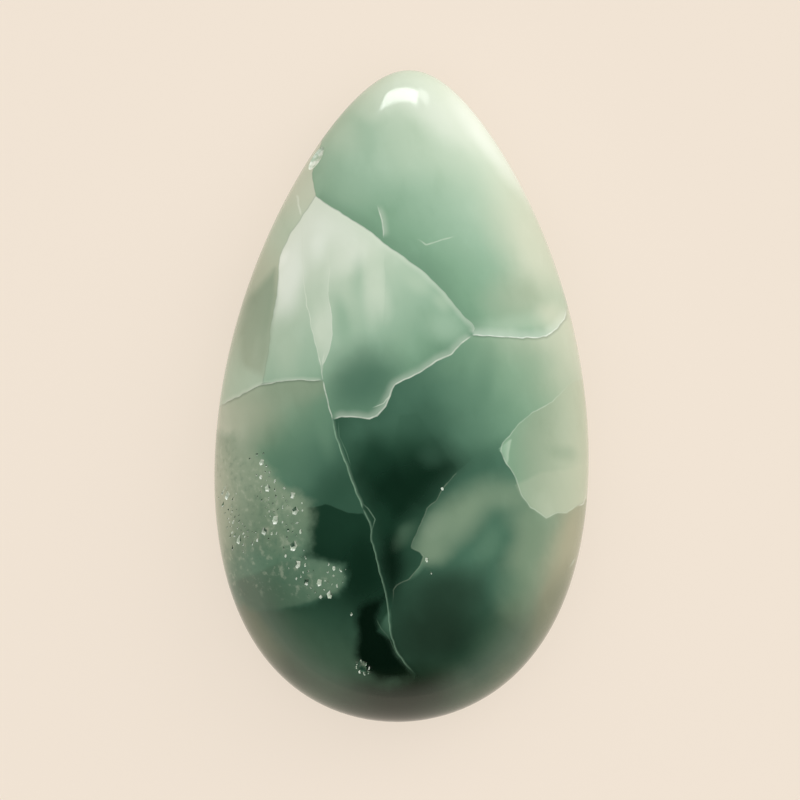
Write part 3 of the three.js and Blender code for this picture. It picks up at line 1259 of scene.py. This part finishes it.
@dataclass(frozen=True)
class CrystalSockets:
    """The sockets where the pocket breaks the polish. Their sizes are shares of a socket's width.

    Attributes:
        form: the stone's sizes.
        floor: radius of a socket's floor.
        top: radius of its cutter's top, above the polish.
        reach: length of its cutter.
        depth: how far its floor lies under the polish.
        opening: the way that sockets open, up and towards the tip.
        sway: how far they lean away from that.
        sway_step: radians that the lean turns from one socket to the next.
        apart: least distance between two sockets, across and along their opening, over both widths.
        glints: number of pinprick sockets along the glint trails.
        scatter: how far they stray from the trails, in millimetres.
        glint_width: least and most width of one, in millimetres.
        glint_slim: least and most breadth of one over its length.
        seed: of their places.
    """

    form: StoneForm
    floor: float = 0.34
    top: float = 0.6
    reach: float = 1.4
    depth: float = 0.35
    opening: tuple[float, float, float] = (-0.109, 0.56, 0.822)
    sway: float = 0.05
    sway_step: float = 2.4
    apart: Point = (0.66, 0.76)
    glints: int = 110
    scatter: float = 0.22
    glint_width: Point = (0.12, 0.28)
    glint_slim: Point = (0.35, 0.9)
    seed: int = 8

    def strewn(self) -> list[Pit]:
        """The specks, and pinpricks along the glint trails clear of them and of the larger sockets.

        Returns:
            The sockets.
        """
        dice = random.Random(self.seed)
        pits = [*PITS, *SPECKS]
        wanted = len(pits) + self.glints
        while len(pits) < wanted:
            trail = dice.choice(GLINT_TRAILS)
            step = dice.randrange(len(trail) - 1)
            on_trail = Vector(trail[step]).lerp(Vector(trail[step + 1]), dice.random())
            place = on_trail + Vector((dice.gauss(0, self.scatter), dice.gauss(0, self.scatter)))
            width = dice.uniform(*self.glint_width)
            turn = dice.uniform(0, 180)
            slim = dice.uniform(*self.glint_slim)
            pit = Pit(tuple(place), width, turn, dice.choice((3, 4, 5)), slim)
            if all(self._clear(pit, other) for other in pits):
                pits.append(pit)
        return pits[len(PITS) :]

    def _clear(self, one: Pit, other: Pit) -> bool:
        """True if the cutters of two sockets don't touch.

        Args:
            one: a socket.
            other: another.

        Returns:
            Whether they stand clear.
        """
        gap = self.form.seat(one.place)[0] - self.form.seat(other.place)[0]
        along = abs(gap.dot(Vector(self.opening)))
        across = math.sqrt(max(0.0, gap.length_squared - along**2))
        both = one.width + other.width
        return across > self.apart[0] * both or along > self.apart[1] * both

    def cutter(self, pits: Sequence[Pit], looks: Sequence[bpy.types.Material]) -> bpy.types.Object:
        """One prism for each socket, narrower at its floor.

        Args:
            pits: the sockets.
            looks: the materials of their dark walls, partly painted shade, and of their faces painted white
                as glints.

        Returns:
            The prisms as one piece.
        """
        prisms = []
        for index, pit in enumerate(pits):
            middle, _ = self.form.seat(pit.place)
            angle = self.sway_step * index
            lean = Vector((math.sin(angle), math.cos(angle), 0.0)) * self.sway
            axis = (Vector(self.opening) + lean).normalized()
            turn = axis.to_track_quat("Z", "Y").to_matrix() @ Matrix.Rotation(math.radians(pit.turn), 3, "Z")
            bpy.ops.mesh.primitive_cone_add(
                vertices=pit.sides,
                radius1=pit.width * self.floor * MM,
                radius2=pit.width * self.top * MM,
                depth=self.reach * pit.width * MM,
                location=(middle + axis * pit.width * (self.reach / 2 - self.depth)) * MM,
                rotation=turn.to_euler(),
                scale=(1.0, pit.slim, 1.0),
            )
            prism = bpy.context.object
            for look in looks:
                prism.data.materials.append(look)
            floor = min(prism.data.polygons, key=lambda face: face.center.z).index
            for face in prism.data.polygons:
                # The floor and every other side take the painted glint's white, unless the socket has none.
                lit = face.index == floor or face.index % 2 == 0
                face.material_index = int(lit and pit.pale_or_glint)
            prisms.append(prism)
        return join_pieces(prisms)


@dataclass
class PolishedStone:
    """The drop itself, with its cracks, its crystal pocket and the flake scar by its tip.

    Attributes:
        form: the stone's sizes.
        finish: its polish.
        cuts: cuts along each side of the starting cube.
        features: how near a crack or an edge the mesh is made finer, and how fine, in millimetres.
        sharp: panes whose edge is narrower than this are sharp enough for that, in millimetres.
        slant: how far cracks and panes shift in plan for each millimetre below the dome.
        wobble: waves per millimetre and reach, in millimetres, of the unevenness of drawn lines.
        seed: of that unevenness, which the clock would seed otherwise.
        crease: degrees above which an edge stays sharp.
        scar: the flake scar.
    """

    form: StoneForm = field(default_factory=StoneForm)
    finish: StoneFinish = field(default_factory=StoneFinish)
    cuts: int = 47
    features: tuple[Point, ...] = ((0.55, 0.2), (0.22, 0.1))
    sharp: float = 0.5
    slant: Point = (0.12, -0.25)
    wobble: tuple[Point, ...] = ((0.45, 0.12), (2.2, 0.05))
    seed: int = 4
    crease: float = 40.0
    scar: Scar = Scar()

    def build(self) -> bpy.types.Object:
        """Models, marks and dresses the stone.

        Returns:
            The finished piece.
        """
        piece = self._ball()
        for reach, size in self.features:
            self._refine(piece, reach, size)
        self._shape(piece)
        piece.data.materials.clear()
        piece.data.materials.append(self.finish.material(self.form, PANES, CRACKS))
        sockets = CrystalSockets(self.form)
        looks = SOCKET_WALL_AND_SHADE.material(), PAINTED_GLINT_FACE.material()
        for pits in (PITS, (*sockets.strewn(), *FOOT_RING), (FOOT_HOLLOW,)):
            self._cut(piece, sockets.cutter(pits, looks))
        self._cut(piece, self._scar_cutter())
        self._mark(piece)
        bpy.ops.object.shade_smooth_by_angle(angle=math.radians(self.crease))
        log.info("stone: %d faces, %d cracks, %d panes", len(piece.data.polygons), len(CRACKS), len(PANES))
        return piece

    def _ball(self) -> bpy.types.Object:
        """A ball of even four-sided faces, from a subdivided cube.

        Returns:
            The ball, of radius 1.
        """
        bpy.ops.object.select_all(action="DESELECT")
        bpy.ops.mesh.primitive_cube_add(size=2)
        piece = bpy.context.object
        piece.name = piece.data.name = "polished_stone"
        bpy.ops.object.mode_set(mode="EDIT")
        bpy.ops.mesh.select_all(action="SELECT")
        bpy.ops.mesh.subdivide(number_cuts=self.cuts)
        bpy.ops.object.mode_set(mode="OBJECT")
        self._round_off(piece)
        return piece

    def _round_off(self, piece: bpy.types.Object) -> None:
        """Casts the mesh onto the unit sphere.

        Args:
            piece: the ball.
        """
        cast = piece.modifiers.new("round", "CAST")
        cast.cast_type = "SPHERE"
        cast.factor = 1.0
        cast.use_radius_as_size = False
        cast.size = 1.0
        bpy.ops.object.modifier_apply(modifier=cast.name)

    def _refine(self, piece: bpy.types.Object, reach: float, size: float) -> None:
        """Subdivides the faces near cracks and pane edges.

        Args:
            piece: the ball.
            reach: how near they lie, in millimetres.
            size: faces narrower than this are left alone, in millimetres.
        """
        mesh = piece.data
        placed = self.form.on_stone(vertex_places(mesh))
        near = self._feature_gap(placed) < reach
        wanted = np.zeros(len(mesh.polygons), bool)
        for face in mesh.polygons:
            corners = list(face.vertices)
            if near[corners].any():
                wanted[face.index] = math.sqrt(face_area(placed[corners])) > size
        select_faces(mesh, wanted)
        bpy.ops.object.mode_set(mode="EDIT")
        bpy.ops.mesh.subdivide(number_cuts=1, ngon=False)
        bpy.ops.object.mode_set(mode="OBJECT")
        self._round_off(piece)
        log.info("refined within %.2f mm: %d faces", reach, len(mesh.polygons))

    def _feature_gap(self, placed: np.ndarray) -> np.ndarray:
        """Distance of each point from the nearest crack or pane edge, in millimetres.

        Args:
            placed: points of the stone, one a row, in millimetres.

        Returns:
            The distances.
        """
        plan = self._plan(placed)
        gap = np.full(len(placed), FAR)
        for crack in CRACKS:
            offset, along = signed_offset(plan, crack.route, closed=False)
            off_end = np.maximum(0, np.maximum(-along, along - route_length(crack.route)))
            gap = np.minimum(gap, np.hypot(offset, off_end))
        for pane in PANES:
            if pane.edge < self.sharp:
                gap = np.minimum(gap, np.abs(signed_offset(plan, pane.outline, closed=True)[0]))
        return gap

    def _plan(self, placed: np.ndarray) -> np.ndarray:
        """Where points of the stone lie in plan, once the slant below the dome is taken out."""
        depth = self.form.dome_height(placed[:, 0], placed[:, 1]) - placed[:, 2]
        return placed[:, :2] + depth[:, None] * np.array(self.slant)

    def _shape(self, piece: bpy.types.Object) -> None:
        """Draws the ball out into the drop, just inside the frame's own stone.

        Args:
            piece: the ball.
        """
        placed = self.form.on_stone(vertex_places(piece.data)) * MM
        low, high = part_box("hemimorphite_stone")
        span = np.ptp(placed, axis=0)
        share = np.minimum(1.0, np.array(high - low) / span)
        middle = (placed.min(0) + placed.max(0)) / 2
        target = np.array(low + high) / 2
        placed = (placed - middle) * share + target
        piece.data.vertices.foreach_set("co", placed.astype(np.float32).ravel())
        piece.data.update()

    def _scar_cutter(self) -> bpy.types.Object:
        """The ball whose underside left the flake's bed.

        Returns:
            The cutter.
        """
        scar = self.scar
        middle, outward = self.form.seat(scar.place)
        stand = Vector((0, 0, 1)).rotation_difference(outward).to_matrix()
        turn = Matrix.Rotation(math.radians(scar.turn), 3, "Z")
        tilt = Matrix.Rotation(math.radians(scar.tilt), 3, "X")
        bpy.ops.object.select_all(action="DESELECT")
        bpy.ops.mesh.primitive_ico_sphere_add(
            subdivisions=5,
            radius=1.0,
            location=middle * MM,
            rotation=(stand @ turn @ tilt).to_euler(),
            scale=[r * MM for r in scar.radii],
        )
        bpy.context.object.data.materials.append(FLAKE_BED.material())
        return bpy.context.object

    def _cut(self, piece: bpy.types.Object, cutter: bpy.types.Object) -> None:
        """Takes a cutter away from the piece, and keeps the cutter's look on the cut faces.

        Args:
            piece: the stone.
            cutter: what is cut away. It is deleted.
        """
        bpy.ops.object.select_all(action="DESELECT")
        piece.select_set(True)
        bpy.context.view_layer.objects.active = piece
        taken = piece.modifiers.new("cut", "BOOLEAN")
        taken.operation = "DIFFERENCE"
        taken.solver = "MANIFOLD"
        taken.material_mode = "TRANSFER"
        taken.object = cutter
        bpy.ops.object.modifier_apply(modifier=taken.name)
        bpy.data.objects.remove(cutter)
        log.info("cut: %d faces left", len(piece.data.polygons))

    def _mark(self, piece: bpy.types.Object) -> None:
        """Writes the distance of each crack and pane, and how cracks fade, into the mesh for the material.

        Args:
            piece: the stone.
        """
        mesh = piece.data
        placed = vertex_places(mesh) / MM
        plan = self._plan(placed) + self._wobble(placed)
        for crack in CRACKS:
            offset, along = signed_offset(plan, crack.route, closed=False)
            length = route_length(crack.route)
            fade = smoothstep(along, 0, crack.ends[0]) * smoothstep(length - along, 0, crack.ends[1])
            values = np.zeros((len(plan), 3), np.float32)
            values[:, 0] = offset
            values[:, 1] = fade
            attribute = mesh.attributes.new("crack_" + crack.name, "FLOAT_VECTOR", "POINT")
            attribute.data.foreach_set("vector", values.ravel())
        for pane in PANES:
            offset = signed_offset(plan, pane.outline, closed=True)[0]
            attribute = mesh.attributes.new("pane_" + pane.name, "FLOAT", "POINT")
            attribute.data.foreach_set("value", offset.astype(np.float32))

    def _wobble(self, placed: np.ndarray) -> np.ndarray:
        """A small unevenness of every drawn line, in millimetres of plan.

        Args:
            placed: points of the stone, one a row, in millimetres.

        Returns:
            How far each point is moved.
        """
        shift = np.zeros((len(placed), 2))
        noise.seed_set(self.seed)
        for waves, reach in self.wobble:
            shift += [noise.noise_vector(Vector(place) * waves).xy * reach for place in placed]
        return shift


def join_pieces(pieces: list[bpy.types.Object]) -> bpy.types.Object:
    """Makes several objects one, and returns it.

    Args:
        pieces: the objects.

    Returns:
        The first of them, which holds them all.
    """
    bpy.ops.object.select_all(action="DESELECT")
    for piece in pieces:
        piece.select_set(True)
    bpy.context.view_layer.objects.active = pieces[0]
    bpy.ops.object.join()
    return bpy.context.object


def vertex_places(mesh: bpy.types.Mesh) -> np.ndarray:
    """The mesh's vertex places, one a row.

    Args:
        mesh: the mesh.

    Returns:
        Their coordinates.
    """
    flat = np.empty(len(mesh.vertices) * 3, np.float32)
    mesh.vertices.foreach_get("co", flat)
    return flat.reshape(-1, 3).astype(float)


def face_area(corners: np.ndarray) -> float:
    """Area of a nearly flat face."""
    fan = np.cross(corners[1:-1] - corners[0], corners[2:] - corners[0])
    return float(np.linalg.norm(fan.sum(0)) / 2)


def select_faces(mesh: bpy.types.Mesh, wanted: np.ndarray) -> None:
    """Selects these faces and nothing else, for the next edit-mode step.

    Args:
        mesh: the mesh.
        wanted: True for each face to select.
    """
    bpy.context.tool_settings.mesh_select_mode = (False, False, True)
    mesh.vertices.foreach_set("select", np.zeros(len(mesh.vertices), bool))
    mesh.edges.foreach_set("select", np.zeros(len(mesh.edges), bool))
    mesh.polygons.foreach_set("select", wanted)


@dataclass
class Studio:
    """A pale floor, soft light, and a camera that looks straight down.

    Attributes:
        frame_width: breadth of the view at the girdle, in millimetres.
        aim: the point of the plan in the middle of the view, in millimetres.
        lens: long, so that the outline is seen as nearly flat.
        floor_colour: of the pale light table under the stone.
        floor_glow: how much of its light the table gives of itself.
        floor_size: along each side, in metres.
        floor_lift: how far it lies above the stone's back, in millimetres.
        sky_colour: warm, as the floor is.
        sky_glow: strength of the sky at the horizon.
        sky_top: sine of the height where the sky has faded out.
        window_gap: distance of the window from the stone, in metres.
    """

    frame_width: float = 46.63
    aim: Point = (-0.09, -0.23)
    lens: float = 400.0
    floor_colour: tuple[float, float, float, float] = (0.88, 0.775, 0.66, 1.0)
    floor_glow: float = 0.8
    floor_size: float = 6.0
    floor_lift: float = 0.01
    sky_colour: tuple[float, float, float, float] = (0.96, 0.86, 0.75, 1.0)
    sky_glow: float = 0.7
    sky_top: float = 0.45
    window_gap: float = 0.4

    def build(self) -> None:
        """Sets up the floor, the lights and the camera."""
        self._floor()
        self._sky()
        self._sash("window", 97.5, 19.5, (0.23, 0.085), -13.0, 0.4)
        self._sash("window_side", 75.0, 18.0, (0.06, 0.08), -10.0, 0.04)
        self._soft_lamp("overhead", 60.0, 80.0, 120.0, 2.6)
        self._soft_lamp("side_light", 40.0, 25.0, 50.0, 1.0)
        self._camera()
        bpy.context.scene.view_settings.view_transform = "Standard"
        log.info("studio: floor, sky, window, lamps and camera")

    def _floor(self) -> None:
        """A wide matt table, lit from within as well, so that it takes little shadow.

        It lies a hair above the stone's back, so that the two don't share a plane.
        """
        bpy.ops.object.select_all(action="DESELECT")
        bpy.ops.mesh.primitive_plane_add(size=self.floor_size, location=(0.0, 0.0, self.floor_lift * MM))
        card = bpy.context.object
        card.name = card.data.name = "pale_floor"
        graph = NodeGraph("pale_table")
        shader = graph.node("BsdfPrincipled")
        dimmed = [channel * (1 - self.floor_glow) for channel in self.floor_colour[:3]]
        shader.inputs["Base Color"].default_value = (*dimmed, 1.0)
        shader.inputs["Emission Color"].default_value = self.floor_colour
        shader.inputs["Emission Strength"].default_value = self.floor_glow
        shader.inputs["Roughness"].default_value = 0.9
        shader.inputs["Specular IOR Level"].default_value = 0.0
        graph.feed(graph.node("OutputMaterial").inputs["Surface"], shader.outputs[0])
        card.data.materials.append(graph.material)

    def _sky(self) -> None:
        """Light from low all round, brightest at the horizon, so the floor's mirror image ends softly."""
        world = bpy.data.worlds.new("soft_sky")
        world.use_nodes = True
        tree = world.node_tree
        sky = tree.nodes["Background"]
        sky.inputs["Color"].default_value = self.sky_colour
        facing_up = tree.nodes.new("ShaderNodeSeparateXYZ")
        tree.links.new(tree.nodes.new("ShaderNodeTexCoord").outputs["Generated"], facing_up.inputs[0])
        fall = tree.nodes.new("ShaderNodeMapRange")
        fall.interpolation_type = "SMOOTHSTEP"
        fade = {"From Min": 0.0, "From Max": self.sky_top, "To Min": self.sky_glow, "To Max": 0.0}
        for name, value in fade.items():
            fall.inputs[name].default_value = value
        tree.links.new(facing_up.outputs["Z"], fall.inputs["Value"])
        tree.links.new(fall.outputs["Result"], sky.inputs["Strength"])
        bpy.context.scene.world = world

    def _soft_lamp(self, name: str, bearing: float, height: float, spread: float, energy: float) -> None:
        """A broad soft lamp that the polish doesn't mirror.

        Args:
            name: what the lamp is called.
            bearing: degrees from +X.
            height: degrees over the floor.
            spread: degrees across, as seen from the stone.
            energy: light on a surface that faces it.
        """
        place = direction(math.radians(bearing), math.radians(height))
        bpy.ops.object.light_add(type="SUN", location=place, rotation=facing(place))
        lamp = bpy.context.object
        lamp.name = lamp.data.name = name
        lamp.data.angle = math.radians(spread)
        lamp.data.energy = energy
        lamp.visible_glossy = False

    def _sash(
        self, name: str, bearing: float, height: float, size: Point, roll: float, power: float
    ) -> None:
        """One sash of the window that the tip mirrors.

        Args:
            name: what the light is called.
            bearing: degrees from +X.
            height: degrees over the floor.
            size: its breadth and height, in metres.
            roll: degrees it leans to the left.
            power: in watts.
        """
        place = direction(math.radians(bearing), math.radians(height)) * self.window_gap
        bpy.ops.object.light_add(type="AREA", location=place, rotation=facing(place, math.radians(roll)))
        lamp = bpy.context.object
        lamp.name = lamp.data.name = name
        lamp.data.shape = "RECTANGLE"
        lamp.data.size, lamp.data.size_y = size
        lamp.data.energy = power
        lamp.visible_diffuse = False

    def _camera(self) -> None:
        """A camera straight above the stone, its top towards the tip."""
        sensor = 36.0
        girdle = StoneForm().girdle_height
        height = self.frame_width * self.lens / sensor + girdle
        place = (self.aim[0] * MM, self.aim[1] * MM, height * MM)
        bpy.ops.object.camera_add(location=place, rotation=(0, 0, 0))
        camera = bpy.context.object
        camera.name = camera.data.name = "photo_camera"
        camera.data.lens = self.lens
        camera.data.sensor_width = sensor
        camera.data.clip_start = 0.01
        camera.data.clip_end = 10.0
        bpy.context.scene.camera = camera


def direction(bearing: float, height: float) -> Vector:
    """The unit vector at a bearing from +X and a height over the floor, both in radians."""
    out = math.cos(height)
    return Vector((math.cos(bearing) * out, math.sin(bearing) * out, math.sin(height)))


def facing(place: Vector, roll: float = 0.0) -> tuple[float, float, float]:
    """The turn of a light at a place that shines on the origin, rolled about its beam, in radians."""
    turn = (-place).to_track_quat("-Z", "Y").to_matrix() @ Matrix.Rotation(roll, 3, "Z")
    return tuple(turn.to_euler())


def main() -> None:
    """Builds the stone and the studio."""
    logging.basicConfig(level=logging.INFO, format="%(name)s: %(message)s")
    stone = PolishedStone().build()
    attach(stone, "root")
    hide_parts("hemimorphite_stone")
    Studio().build()


if __name__ == "__main__":
    main()
